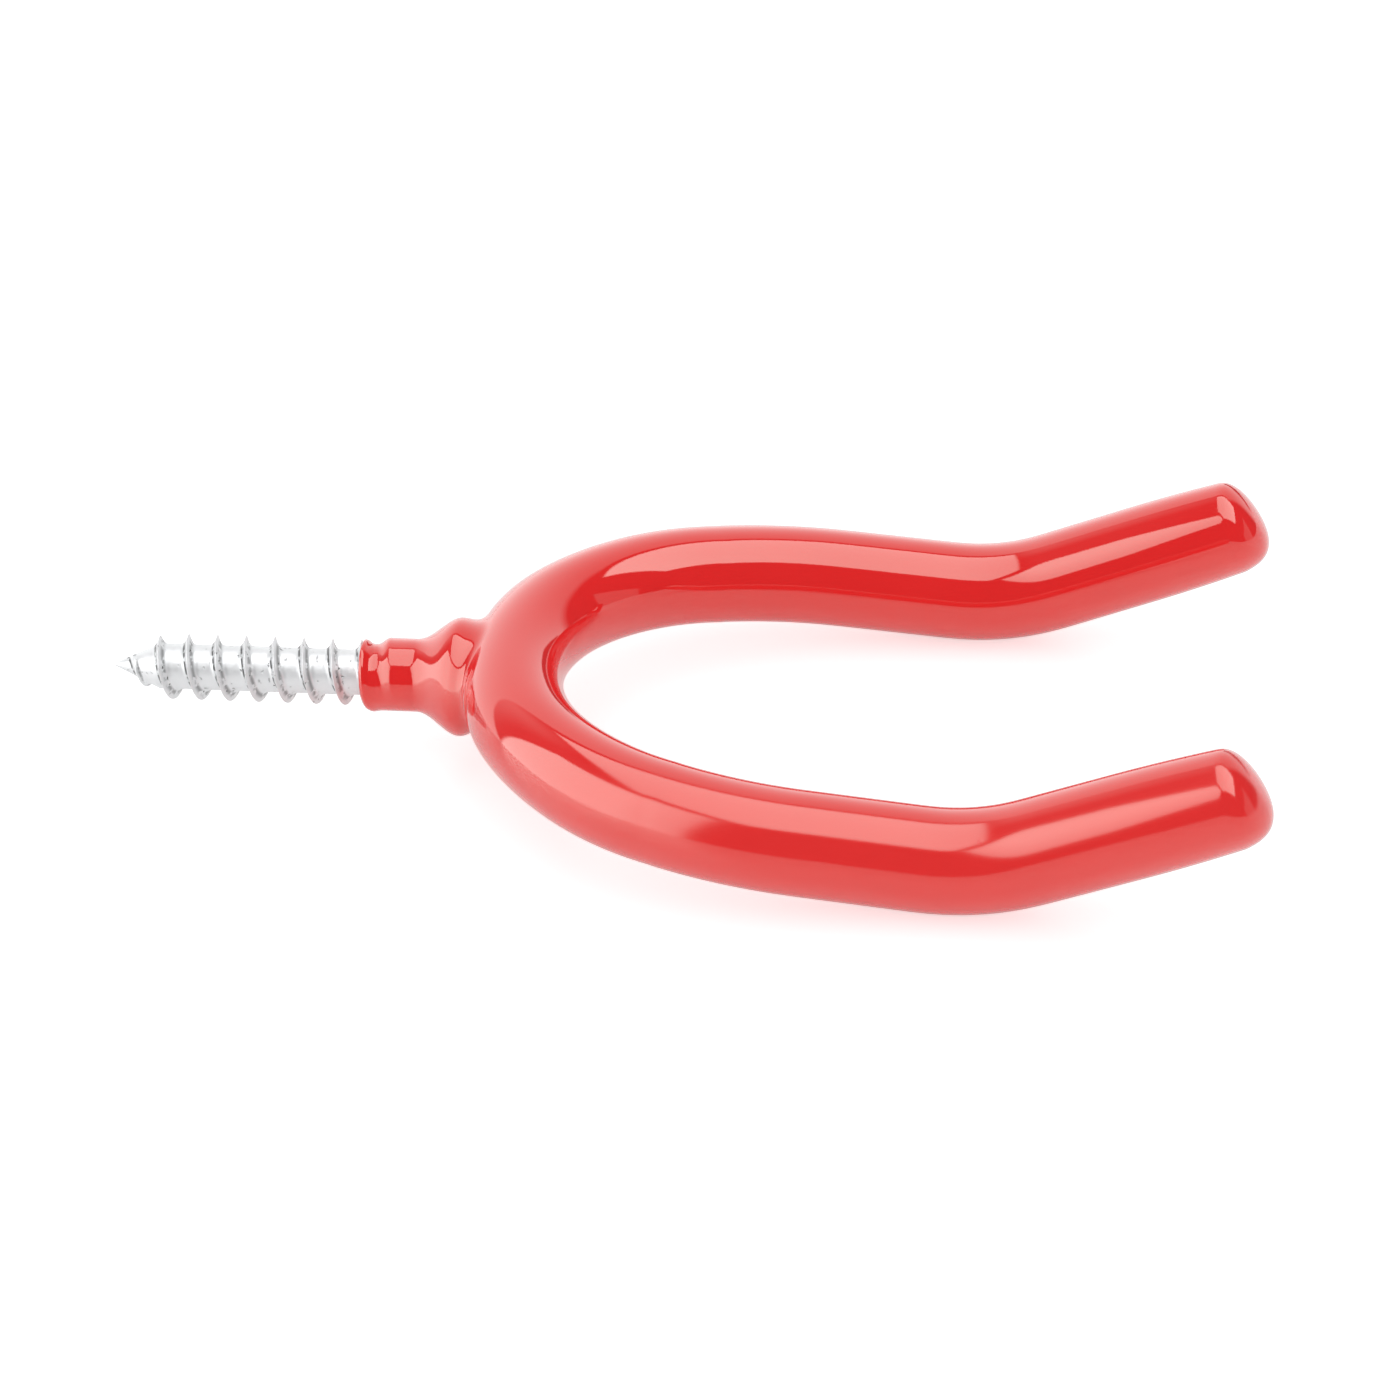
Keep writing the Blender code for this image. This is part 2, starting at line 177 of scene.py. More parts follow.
def fine_marks_group():
    """Shared finish: a noise of slow unevenness, and sparse pits and dust specks over it.

    Uneven is the noise, Specks is the mask of the specks, and Height is both as a relief.
    """
    group = bpy.data.node_groups.new("fine_marks", 'ShaderNodeTree')
    for name, default in (("Unevenness Scale", 400.0), ("Speck Scale", 900.0),
                          ("Speck Share", 0.1), ("Speck Depth", 1.0)):
        socket = group.interface.new_socket(name, in_out='INPUT', socket_type='NodeSocketFloat')
        socket.default_value = default
    for name in ("Uneven", "Specks", "Height"):
        group.interface.new_socket(name, in_out='OUTPUT', socket_type='NodeSocketFloat')
    inside = group.nodes.new("NodeGroupInput")
    outside = group.nodes.new("NodeGroupOutput")
    place = group.nodes.new("ShaderNodeTexCoord")
    slow = add_node(group, "ShaderNodeTexNoise", Detail=3.0, Roughness=0.5)
    ragged = add_node(group, "ShaderNodeVectorMath", operation='MULTIPLY_ADD')
    ragged.inputs[1].default_value = (SPECK_RAGGED, SPECK_RAGGED, SPECK_RAGGED)
    cells = add_node(group, "ShaderNodeTexVoronoi")
    scarce = add_node(group, "ShaderNodeMath", operation='LESS_THAN')
    near = add_node(group, "ShaderNodeMapRange",
                    **{"From Min": SPECK_EDGE[0], "From Max": SPECK_EDGE[1],
                       "To Min": 1.0, "To Max": 0.0})
    specks = add_node(group, "ShaderNodeMath", operation='MULTIPLY')
    depth = add_node(group, "ShaderNodeMath", operation='MULTIPLY')
    relief = add_node(group, "ShaderNodeMath", operation='SUBTRACT')
    colour = group.nodes.new("ShaderNodeSeparateColor")
    link = group.links.new
    link(place.outputs["Object"], slow.inputs["Vector"])
    link(slow.outputs["Color"], ragged.inputs[0])
    link(place.outputs["Object"], ragged.inputs[2])
    link(ragged.outputs["Vector"], cells.inputs["Vector"])
    link(inside.outputs["Unevenness Scale"], slow.inputs["Scale"])
    link(inside.outputs["Speck Scale"], cells.inputs["Scale"])
    link(cells.outputs["Color"], colour.inputs["Color"])
    link(colour.outputs["Red"], scarce.inputs[0])
    link(inside.outputs["Speck Share"], scarce.inputs[1])
    link(cells.outputs["Distance"], near.inputs["Value"])
    link(near.outputs["Result"], specks.inputs[0])
    link(scarce.outputs["Value"], specks.inputs[1])
    link(specks.outputs["Value"], depth.inputs[0])
    link(inside.outputs["Speck Depth"], depth.inputs[1])
    link(slow.outputs["Fac"], relief.inputs[0])
    link(depth.outputs["Value"], relief.inputs[1])
    link(slow.outputs["Fac"], outside.inputs["Uneven"])
    link(specks.outputs["Value"], outside.inputs["Specks"])
    link(relief.outputs["Value"], outside.inputs["Height"])
    return group


def add_marks(tree, uneven_scale, speck_scale, share, depth):
    """Place the shared finish in a material with its own values."""
    node = tree.nodes.new("ShaderNodeGroup")
    node.node_tree = fine_marks
    node.inputs["Unevenness Scale"].default_value = uneven_scale
    node.inputs["Speck Scale"].default_value = speck_scale
    node.inputs["Speck Share"].default_value = share
    node.inputs["Speck Depth"].default_value = depth
    return node


def add_bump(tree, shader, height, distance):
    """A relief of a height on the shader's normal. A height of 1 stands up by the distance."""
    bump = add_node(tree, "ShaderNodeBump", Distance=distance)
    tree.links.new(height, bump.inputs["Height"])
    tree.links.new(bump.outputs["Normal"], shader.inputs["Normal"])


def combined(tree, operation, first, second=0.0):
    """A Math node's result. Each of its inputs is a number or another node's output."""
    node = add_node(tree, "ShaderNodeMath", operation=operation)
    for socket, value in zip(node.inputs, (first, second)):
        if isinstance(value, bpy.types.NodeSocket):
            tree.links.new(value, socket)
        else:
            socket.default_value = value
    return node.outputs["Value"]


def two_colours(tree, factor, first, second):
    """The first colour where the factor is 0 and the second where it is 1.

    A Mix node's colours are its inputs 6 and 7 and its output 2.
    """
    mix = add_node(tree, "ShaderNodeMix", data_type='RGBA')
    mix.inputs[6].default_value = (*first, 1.0)
    mix.inputs[7].default_value = (*second, 1.0)
    tree.links.new(factor, mix.inputs["Factor"])
    return mix.outputs[2]


def between(tree, factor, first, second):
    """A number that runs from first, where the factor is 0, to second, where it is 1."""
    span = add_node(tree, "ShaderNodeMapRange", **{"To Min": first, "To Max": second})
    tree.links.new(factor, span.inputs["Value"])
    return span.outputs["Result"]


fine_marks = fine_marks_group()


def helix_line(tree, helix, centre, half_width):
    """A thin line that runs along the thread: 1 at its centre, fading to 0 at its half width."""
    off = combined(tree, 'ABSOLUTE', combined(tree, 'SUBTRACT', helix, centre))
    line = add_node(tree, "ShaderNodeMapRange", interpolation_type='SMOOTHSTEP',
                    **{"From Max": half_width, "To Min": 1.0, "To Max": 0.0})
    tree.links.new(off, line.inputs["Value"])
    return line.outputs["Result"]


# The zinc is bright and a little frosted. A broken dark line of painted shade runs at the foot
# of each tooth, a fainter one just past each crest, and dark specks crowd towards the feet.
# Helix runs from 0 at one crest to 1 at the next.
zinc, tree, shader = new_material("zinc_plated_steel", ZINC, roughness=0.4, metallic=0.45)
marks = add_marks(tree, uneven_scale=1500.0, speck_scale=1900.0, share=0.22, depth=2.0)
place = tree.nodes.new("ShaderNodeTexCoord")
split = tree.nodes.new("ShaderNodeSeparateXYZ")
tree.links.new(place.outputs["Object"], split.inputs["Vector"])
turned = combined(tree, 'ARCTAN2', split.outputs["Z"], split.outputs["Y"])
climb = combined(tree, 'SUBTRACT', split.outputs["X"], THREAD_PHASE)
climb = combined(tree, 'DIVIDE', climb, THREAD_PITCH)
helix = combined(tree, 'SUBTRACT', climb, combined(tree, 'DIVIDE', turned, 2.0 * math.pi))
helix = combined(tree, 'FRACT', helix)
# Painted shade: two broken dark lines along the thread, before and just after each crest.
shade_after = combined(tree, 'MULTIPLY', helix_line(tree, helix, SHADE_LINE_AFTER, SHADE_LINE_WIDTH),
                      SHADE_LINE_AFTER_SHARE)
painted_shade = combined(tree, 'MAXIMUM', helix_line(tree, helix, SHADE_LINE_BEFORE, SHADE_LINE_WIDTH), shade_after)
broken = add_node(tree, "ShaderNodeMapRange",
                  **{"From Min": SHADE_LINE_BREAKS[0], "From Max": SHADE_LINE_BREAKS[1]})
tree.links.new(marks.outputs["Uneven"], broken.inputs["Value"])
painted_shade = combined(tree, 'MULTIPLY', painted_shade, broken.outputs["Result"])
# Dark specks are crowded near the foot of each tooth and sparse elsewhere.
near_foot = combined(tree, 'MAXIMUM', helix_line(tree, helix, SHADE_LINE_BEFORE, SPECK_CROWD_WIDTH),
                     helix_line(tree, helix, SHADE_LINE_AFTER, SPECK_CROWD_WIDTH))
specks = combined(tree, 'MULTIPLY', marks.outputs["Specks"],
                  between(tree, near_foot, SPECK_SHARE_AWAY, 1.0))
dust_and_shade = combined(tree, 'MAXIMUM', specks, painted_shade)
# The specks and the painted shade lines darken the zinc's colour.
tree.links.new(two_colours(tree, dust_and_shade, ZINC, DUST_AND_SHADE), shader.inputs["Base Color"])
tree.links.new(between(tree, marks.outputs["Uneven"], *ZINC_ROUGHNESS), shader.inputs["Roughness"])
add_bump(tree, shader, marks.outputs["Height"], 0.03 * MM)

# Rows are crowded towards each crest, and start a turn before the point and end a turn after
# the middle of the head's face, so that both ends close on the axis.
head_end = HEAD_FACE + HEAD_RADIUS + THREAD_PITCH
first_turn = math.floor((-SCREW_REACH - THREAD_PHASE) / THREAD_PITCH) - 2
last_turn = math.ceil((head_end - THREAD_PHASE) / THREAD_PITCH)
step = np.arange(ROWS_PER_TURN) / ROWS_PER_TURN
step = step - CREST_CROWDING * np.sin(2.0 * math.pi * step) / (2.0 * math.pi)
travel = (np.arange(first_turn, last_turn)[:, None] + step).ravel()
turn = np.arange(SCREW_SIDES) / SCREW_SIDES
travel, turn = np.meshgrid(travel, turn, indexing="ij")
travel = THREAD_PHASE + THREAD_PITCH * (travel + turn)
along = np.clip(travel, -SCREW_REACH, HEAD_FACE)
inwards = np.clip(1.0 - (travel - HEAD_FACE) / HEAD_RADIUS, 0.0, 1.0)
radius = screw_radius(along, turn) * inwards
points = np.stack([along, radius * np.cos(2.0 * math.pi * turn),
                   radius * np.sin(2.0 * math.pi * turn)], axis=-1)
wood_screw = new_piece("screw_with_thread", points,
                       ring_faces(len(points), SCREW_SIDES, ROWS_PER_TURN), zinc)
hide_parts("wood_screw")
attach(wood_screw, "root")


# Fork rod. One drawn steel rod, bent to a U and kicked up at its ends, bare under the vinyl.
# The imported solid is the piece, and only its finish is made here: mottled grey with small pits.
STEEL_DARK = (0.34, 0.34, 0.35)
STEEL_LIGHT = (0.50, 0.50, 0.51)
STEEL_ROUGHNESS = (0.30, 0.55)
steel, tree, shader = new_material("bare_steel", (0.42, 0.42, 0.43), roughness=0.4, metallic=1.0)
marks = add_marks(tree, uneven_scale=700.0, speck_scale=500.0, share=0.2, depth=1.0)
tree.links.new(two_colours(tree, marks.outputs["Uneven"], STEEL_DARK, STEEL_LIGHT),
               shader.inputs["Base Color"])
tree.links.new(between(tree, marks.outputs["Uneven"], *STEEL_ROUGHNESS), shader.inputs["Roughness"])
add_bump(tree, shader, marks.outputs["Height"], 0.02 * MM)
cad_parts["fork_rod"].data.materials.clear()
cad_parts["fork_rod"].data.materials.append(steel)


# Weld bead. Weld metal run between the screw's head and the rod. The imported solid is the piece,
# and only its finish is made here: brown-grey scale over fine ripples.
SCALE_DARK = (0.20, 0.19, 0.18)
SCALE_LIGHT = (0.40, 0.38, 0.36)
ripples, tree, shader = new_material("weld_steel", (0.30, 0.29, 0.28), roughness=0.6, metallic=1.0)
marks = add_marks(tree, uneven_scale=900.0, speck_scale=1500.0, share=0.4, depth=1.5)
waves = add_node(tree, "ShaderNodeTexWave", Scale=900.0, Distortion=3.0, bands_direction='Z')
place = tree.nodes.new("ShaderNodeTexCoord")
tree.links.new(place.outputs["Object"], waves.inputs["Vector"])
tree.links.new(two_colours(tree, marks.outputs["Uneven"], SCALE_DARK, SCALE_LIGHT),
               shader.inputs["Base Color"])
add_bump(tree, shader, waves.outputs["Fac"], 0.08 * MM)
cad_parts["weld_bead"].data.materials.clear()
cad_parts["weld_bead"].data.materials.append(ripples)


# Vinyl coat. The welded hook is heated and dipped in liquid vinyl, which cures to a soft glossy
# skin. It is thick on the fork, a thin film that shows the thread and the head on the screw,
# webbed between the head and the fork, and drawn out to a drip at each tip.
ROD_RADIUS = 4.0 * MM
COAT_RADIUS = 4.86 * MM
FORK_BACK = 15.25 * MM
FORK_RISE = 1.17 * MM
FORK_DROOP = math.radians(5.73)
BACK_BEND_RADIUS = 22.4 * MM
BACK_BEND_ANGLE = math.radians(69.4)
ARM_BEND_RADIUS = 43.55 * MM
ARM_SPLAY = math.radians(0.88)
ARM_STRAIGHT = 11.1 * MM
KICK_RADIUS = 21.8 * MM
KICK_ANGLE = math.radians(26.3)
TIP_STRAIGHT = 21.89 * MM
BEND_EASE = 5.0 * MM
PATH_STEP = 0.05 * MM

TAPER_LENGTH = 12.9 * MM
TAPER_DEPTH = 0.45 * MM
NOSE_LENGTH = 3.3 * MM
NOSE_FULLNESS = 2.2
NOSE_BLUNTNESS = 1.9
DRIP_SAG = 1.52 * MM
DRIP_LENGTH = 2.76 * MM
TIP_LENGTH = 6.0 * MM
TIP_ROWS = 40
TIP_CROWDING = 1.6

FILM_ON_ROOT = 2.80 * MM
FILM_ON_CREST = 3.56 * MM
FILM_ON_SHANK = 3.44 * MM
CREST_SPREAD = 0.17
CREST_FADE_LAG = 0.6
GROOVE_SHOULDER = 0.44
GROOVE_FADE = (0.20, 0.66)
HEAD_SWELL = 2.20 * MM
HEAD_SWELL_FROM = 5.1 * MM
HEAD_CREST = 9.6 * MM
FILM_FALL = 0.25 / MM
FILM_FALL_FROM = 11.5 * MM
FILM_SAG = 0.20 * MM
LIP_BEAD = 0.12 * MM
LIP_WIDTH = 0.35 * MM
LIP_ROUND = 0.25 * MM
BORE_CLEARANCE = 0.04 * MM
LEAST_SKIN = 0.10 * MM
ROD_CLEARANCE = 0.10 * MM
ROD_STOPS_SHORT = 4.0 * MM
WEB_FILLET = 2.0 * MM
SQUARE_BY = 0.48 * MM
SQUARE_FROM = 9.0 * MM
SQUARE_TO = 20.0 * MM
SETTLE_STEPS = 8
SETTLE_NUDGE = 0.002 * MM
LEAST_SLOPE = 0.2

VINYL = (0.83, 0.020, 0.021)
VINYL_DEEP = (0.81, 0.018, 0.019)
VINYL_LIGHT = (0.85, 0.022, 0.023)
DULL_FROM = 18.0 * MM
DULL_TO = 24.0 * MM
COAT_ROUGHNESS = (0.03, 0.13)
VINYL_ROUGHNESS = (0.06, 0.16)

SIDES = 128
HOLE_HALF_LENGTH = 7.5 * MM
HOLE_HALF_SIDES = 28
HOLE_ROWS = 68
ARM_ROWS = 112
LIP_ROWS = 7
FILM_ROWS = 68
JOIN_ROWS = 26
BORE_ROWS = 22
ROD_ROWS = 70
ROD_SIDES = 24


def eased(bend, step):
    """A bend's curvature blurred along the rod by a raised-cosine window, as a roller leaves it."""
    window = np.hanning(int(BEND_EASE / step))
    mirrored = np.concatenate([bend[::-1], bend, np.full(len(window), bend[-1])])
    return np.convolve(mirrored, window / window.sum(), "same")[len(bend):2 * len(bend)]


def fork_path():
    """Travel and centre line of the +Y arm, with its outward side and its upward side.

    The heading in the fork's plane and the climb out of it are running sums of the curvature,
    and the line is the running sum of the direction that they give. The fork's plane then
    droops about Y.
    """
    ends = np.cumsum([BACK_BEND_RADIUS * BACK_BEND_ANGLE,
                      ARM_BEND_RADIUS * (math.pi / 2 - ARM_SPLAY - BACK_BEND_ANGLE),
                      ARM_STRAIGHT, KICK_RADIUS * KICK_ANGLE, TIP_STRAIGHT])
    travel = np.arange(0.0, ends[-1], PATH_STEP) + PATH_STEP / 2
    in_plane = np.select([travel < ends[0], travel < ends[1]],
                         [1.0 / BACK_BEND_RADIUS, 1.0 / ARM_BEND_RADIUS], 0.0)
    kick = np.where((travel > ends[2]) & (travel < ends[3]), 1.0 / KICK_RADIUS, 0.0)
    heading = np.cumsum(eased(in_plane, PATH_STEP)) * PATH_STEP
    climb = np.cumsum(eased(kick, PATH_STEP)) * PATH_STEP
    ahead = np.stack([np.sin(heading) * np.cos(climb), np.cos(heading) * np.cos(climb),
                      np.sin(climb)], axis=1)
    outward = np.stack([-np.cos(heading), np.sin(heading), 0.0 * heading], axis=1)
    droop = np.array(Matrix.Rotation(FORK_DROOP, 3, 'Y'))
    line = (np.cumsum(ahead, axis=0) - ahead / 2) * PATH_STEP
    line, ahead, outward = line @ droop.T, ahead @ droop.T, outward @ droop.T
    line += (FORK_BACK, 0.0, FORK_RISE)
    return travel, line, outward, np.cross(ahead, outward)


def on_path(rows):
    """The arm's centre line and its two sides at some distances along it."""
    return [np.stack([np.interp(rows, path[0], part[:, k]) for k in range(3)], axis=1)
            for part in path[1:]]


def tube(centre, radius, outward, upward, sides):
    """Rings on a centre line: centre + radius (cos(turn) outward + sin(turn) upward)."""
    around = 2.0 * math.pi * np.arange(sides)[None, :, None] / sides
    return (centre[:, None] + radius[:, None, None]
            * (np.cos(around) * outward[:, None] + np.sin(around) * upward[:, None]))


def both_arms(arm):
    """An arm's rings, led by their mirror image, so that the rows run from tip to tip."""
    return np.concatenate([arm[:0:-1] * (1.0, -1.0, 1.0), arm])


def rounded_least(first, second, rounding):
    """The lesser of two, rounded off by s^2 / (4 rounding).

    Here s is how far the gap between the two falls short of the rounding.
    """
    close = np.maximum(rounding - np.abs(first - second), 0.0)
    return np.minimum(first, second) - close ** 2 / (4.0 * rounding)


def tip_radius(inwards):
    """Radius of an arm's skin at a distance inwards from its end.

    The rod's coat thins a little towards the end, by a parabola, and a blunt nose closes it:
    (1 - t^fullness)^(1 / bluntness), where t runs from 0 at the nose's foot to 1 at the end.
    """
    coated = COAT_RADIUS - TAPER_DEPTH * np.clip(1.0 - inwards / TAPER_LENGTH, 0.0, 1.0) ** 2
    to_end = np.clip(1.0 - inwards / NOSE_LENGTH, 0.0, 1.0)
    return coated * (1.0 - to_end ** NOSE_FULLNESS) ** (1.0 / NOSE_BLUNTNESS)


def film_radius(along, turn):
    """Radius of the vinyl's face over the screw at a place along the axis and a turn about it.

    Between the crests it sinks towards the thread's root, in grooves that fade out along the
    last turn, and on the crests and at the lip it stands up by a bell curve. Past the shank it
    swells over the head by a squared sine, then falls away inside the fork by a parabola, and
    all of it hangs a little thicker below, by the sine of the turn.
    """
    from_crest = (along - THREAD_PHASE) / THREAD_PITCH - turn
    whole = np.floor(from_crest)
    across = from_crest - whole
    travelled = turn + whole
    groove = (smooth_step(0.0, GROOVE_SHOULDER, across)
              * smooth_step(0.0, GROOVE_SHOULDER, 1.0 - across))
    groove *= 1.0 - smooth_step(*GROOVE_FADE, travelled)
    since_crest = travelled - CREST_FADE_LAG
    crest = (np.exp(-(across / CREST_SPREAD) ** 2) * (1.0 - smooth_step(*GROOVE_FADE, since_crest))
             + np.exp(-((1.0 - across) / CREST_SPREAD) ** 2)
             * (1.0 - smooth_step(*GROOVE_FADE, since_crest + 1.0)))
    over_head = np.clip((along - HEAD_SWELL_FROM) / (HEAD_CREST - HEAD_SWELL_FROM), 0.0, 2.0)
    swell = HEAD_SWELL * np.sin(math.pi / 2.0 * over_head) ** 2
    fall = FILM_FALL * np.maximum(along - FILM_FALL_FROM, 0.0) ** 2
    sag = FILM_SAG * (1.0 - np.sin(2.0 * math.pi * turn)) / 2.0
    lip = LIP_BEAD * np.exp(-((along - LIP_WIDTH) / LIP_WIDTH) ** 2)
    return (FILM_ON_SHANK - (FILM_ON_SHANK - FILM_ON_ROOT) * groove
            + (FILM_ON_CREST - FILM_ON_SHANK) * crest + swell - fall + sag + lip)


def outside_by(place):
    """How far a place near the back of the fork lies outside the vinyl, about in metres.

    The lesser of the distances to the fork's ring and to the film on the screw, rounded off
    where they are nearly equal, which fills their corner with a web.
    """
    droop = np.array(Matrix.Rotation(-FORK_DROOP, 3, 'Y'))
    level = (place - (FORK_BACK, 0.0, FORK_RISE)) @ droop.T
    from_middle = np.hypot(level[:, 0] - BACK_BEND_RADIUS, level[:, 1])
    fork = np.hypot(from_middle - BACK_BEND_RADIUS, level[:, 2]) - COAT_RADIUS
    turn = np.arctan2(place[:, 2], place[:, 1]) / (2.0 * math.pi)
    film = np.hypot(place[:, 1], place[:, 2]) - film_radius(place[:, 0], turn)
    return rounded_least(fork, film, WEB_FILLET)


def settled(place):
    """Move places onto the vinyl's face: each step goes down the slope by height over slope."""
    for _ in range(SETTLE_STEPS):
        height = outside_by(place)
        slope = np.stack([(outside_by(place + SETTLE_NUDGE * axis) - height) / SETTLE_NUDGE
                          for axis in np.eye(3)], axis=1)
        place = place - slope * (height / np.maximum((slope ** 2).sum(axis=1), LEAST_SLOPE))[:, None]
    return place


# The fork's skin is one grid: rows along the U from tip to tip and sides about it. Its last rows
# sag into a drip by a parabola, and the rows near the screw settle onto the web.
path = fork_path()
reach = path[0][-1]
hole_steps = np.linspace(0.0, HOLE_HALF_LENGTH, HOLE_ROWS // 2 + 1)
arm_steps = np.linspace(HOLE_HALF_LENGTH, reach - TIP_LENGTH, ARM_ROWS + 1)[1:]
to_end = TIP_LENGTH * (1.0 - np.arange(1, TIP_ROWS + 1) / TIP_ROWS) ** TIP_CROWDING
rows = np.concatenate([hole_steps, arm_steps, reach - to_end])
line, outward, upward = on_path(rows)
sag = DRIP_SAG * np.clip(1.0 - (reach - rows) / DRIP_LENGTH, 0.0, 1.0) ** 2
arm = tube(line - upward * sag[:, None], tip_radius(reach - rows), outward, upward, SIDES)
fork = both_arms(arm)
middle = len(arm) - 1
hole = HOLE_ROWS // 2
near_hole = slice(middle - 2 * hole, middle + 2 * hole + 1)
fork[near_hole] = settled(fork[near_hole].reshape(-1, 3)).reshape(fork[near_hole].shape)

# Its quads leave a hole at the back of the U, whose edge runs once about the screw's axis.
faces = ring_faces(len(fork), SIDES).reshape(len(fork) - 1, SIDES, 4)
open_side = (np.arange(SIDES) + HOLE_HALF_SIDES) % SIDES < 2 * HOLE_HALF_SIDES
open_row = (np.arange(len(fork) - 1) >= middle - hole) & (np.arange(len(fork) - 1) < middle + hole)
fork_faces = faces[~(open_row[:, None] & open_side[None, :])]
sides_up = np.arange(-HOLE_HALF_SIDES, HOLE_HALF_SIDES)
rows_back = np.arange(hole, -hole, -1)
edge_row = np.concatenate([np.full(len(sides_up), hole), rows_back,
                           np.full(len(sides_up), -hole), -rows_back]) + middle
edge_side = np.concatenate([sides_up, np.full(len(rows_back), HOLE_HALF_SIDES),
                            -sides_up, np.full(len(rows_back), -HOLE_HALF_SIDES)]) % SIDES
edge = fork[edge_row, edge_side]

# The collar's grid starts at the middle of the blind bore, comes back over the steel to the
# mouth, rolls over the lip, and runs out over the film and the head to the hole's edge.
columns = len(edge)
edge_turn = np.unwrap(np.arctan2(edge[:, 2], edge[:, 1])) / (2.0 * math.pi)
even_turn = np.arange(columns) / columns
even_turn = even_turn + (edge_turn - even_turn).mean()


def collar_rings(along, radius_of, even):
    """Rings about the screw's axis. Even is 1 for evenly spaced columns and 0 for the edge's."""
    turn = edge_turn + np.asarray(even)[:, None] * (even_turn - edge_turn)
    along = np.broadcast_to(np.asarray(along)[:, None], turn.shape)
    radius = radius_of(along, turn)
    return np.stack([along, radius * np.cos(2.0 * math.pi * turn),
                     radius * np.sin(2.0 * math.pi * turn)], axis=-1)


def bore_radius(along, turn):
    """The vinyl's inner face: a hair off the steel, but always the least skin inside the outer."""
    return np.minimum(screw_radius(along, turn) + BORE_CLEARANCE,
                      film_radius(along, turn) - LEAST_SKIN)


bore = np.linspace(HEAD_FACE + LIP_ROUND, LIP_ROUND, BORE_ROWS)
bore_rings = collar_rings(bore, bore_radius, np.ones(BORE_ROWS))
blind_end = bore_rings[:1] * (1.0, 0.0, 0.0)
roll = np.linspace(-0.5, 0.5, LIP_ROWS) * math.pi
lip_along = LIP_ROUND * (1.0 - np.cos(roll))
lip_part = (1.0 + np.sin(roll)[:, None]) / 2.0
lip_rings = collar_rings(lip_along, lambda x, t: bore_radius(x, t) * (1.0 - lip_part)
                         + film_radius(x, t) * lip_part, np.ones(LIP_ROWS))
film = np.linspace(LIP_ROUND, HEAD_CREST, FILM_ROWS + 1)[1:]
film_rings = collar_rings(film, film_radius, 1.0 - film / HEAD_CREST)
join_way = np.linspace(0.0, 1.0, JOIN_ROWS + 1)[1:-1, None, None]
join_rings = film_rings[-1] + (edge - film_rings[-1]) * join_way
late = np.concatenate([film_rings[FILM_ROWS // 2:], join_rings])
late = settled(late.reshape(-1, 3)).reshape(late.shape)
collar = np.concatenate([blind_end, bore_rings, lip_rings[1:-1], film_rings[:FILM_ROWS // 2],
                         late, edge[None]])
collar_faces = ring_faces(len(collar), columns)

# The back of the U is a little squarer than its bend: both grids move back there together.
for grid in (fork, collar):
    in_middle = 1.0 - smooth_step(SQUARE_FROM, SQUARE_TO, np.abs(grid[..., 1]))
    past_head = smooth_step(HEAD_CREST - WEB_FILLET, FORK_BACK - WEB_FILLET, grid[..., 0])
    grid[..., 0] -= SQUARE_BY * in_middle * past_head

# The rod's space inside the skin is a closed tube of its own, which faces inwards.
line, outward, upward = on_path(np.linspace(0.0, reach - ROD_STOPS_SHORT, ROD_ROWS))
rod_arm = tube(line, np.full(ROD_ROWS, ROD_RADIUS + ROD_CLEARANCE), outward, upward, ROD_SIDES)
rod_arm = np.concatenate([rod_arm, np.broadcast_to(line[-1], (1, ROD_SIDES, 3))])
rod_space = both_arms(rod_arm)
rod_faces = ring_faces(len(rod_space), ROD_SIDES)[:, ::-1]

# The vinyl is deep red under its own gloss, with slow ripples and a few dust specks. It is a
# little duller on the arm at -Y, beyond the bend.
vinyl, tree, shader = new_material("red_vinyl", VINYL, roughness=0.1)
marks = add_marks(tree, uneven_scale=160.0, speck_scale=700.0, share=0.01, depth=-1.0)
tree.links.new(two_colours(tree, marks.outputs["Uneven"], VINYL_DEEP, VINYL_LIGHT),
               shader.inputs["Base Color"])
place = tree.nodes.new("ShaderNodeTexCoord")
sideways = tree.nodes.new("ShaderNodeSeparateXYZ")
tree.links.new(place.outputs["Object"], sideways.inputs["Vector"])
duller = add_node(tree, "ShaderNodeMapRange", interpolation_type='SMOOTHSTEP',
                  **{"From Min": -DULL_FROM, "From Max": -DULL_TO})
tree.links.new(sideways.outputs["Y"], duller.inputs["Value"])
duller = duller.outputs["Result"]
tree.links.new(between(tree, duller, *COAT_ROUGHNESS), shader.inputs["Coat Roughness"])
tree.links.new(between(tree, duller, *VINYL_ROUGHNESS), shader.inputs["Roughness"])
shader.inputs["Specular Tint"].default_value = (0.35, 1.0, 0.75, 1.0)
shader.inputs["Coat Weight"].default_value = 1.0
shader.inputs["Coat IOR"].default_value = 1.6
add_bump(tree, shader, marks.outputs["Height"], 0.02 * MM)

offsets = np.cumsum([0, fork.size // 3, collar.size // 3])
points = np.concatenate([part.reshape(-1, 3) for part in (fork, collar, rod_space)])
faces = np.concatenate([part + offset for part, offset in
                        zip((fork_faces, collar_faces, rod_faces), offsets)])
coat = new_piece("vinyl_skin", points, faces, vinyl)
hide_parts("vinyl_coat")
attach(coat, "root")


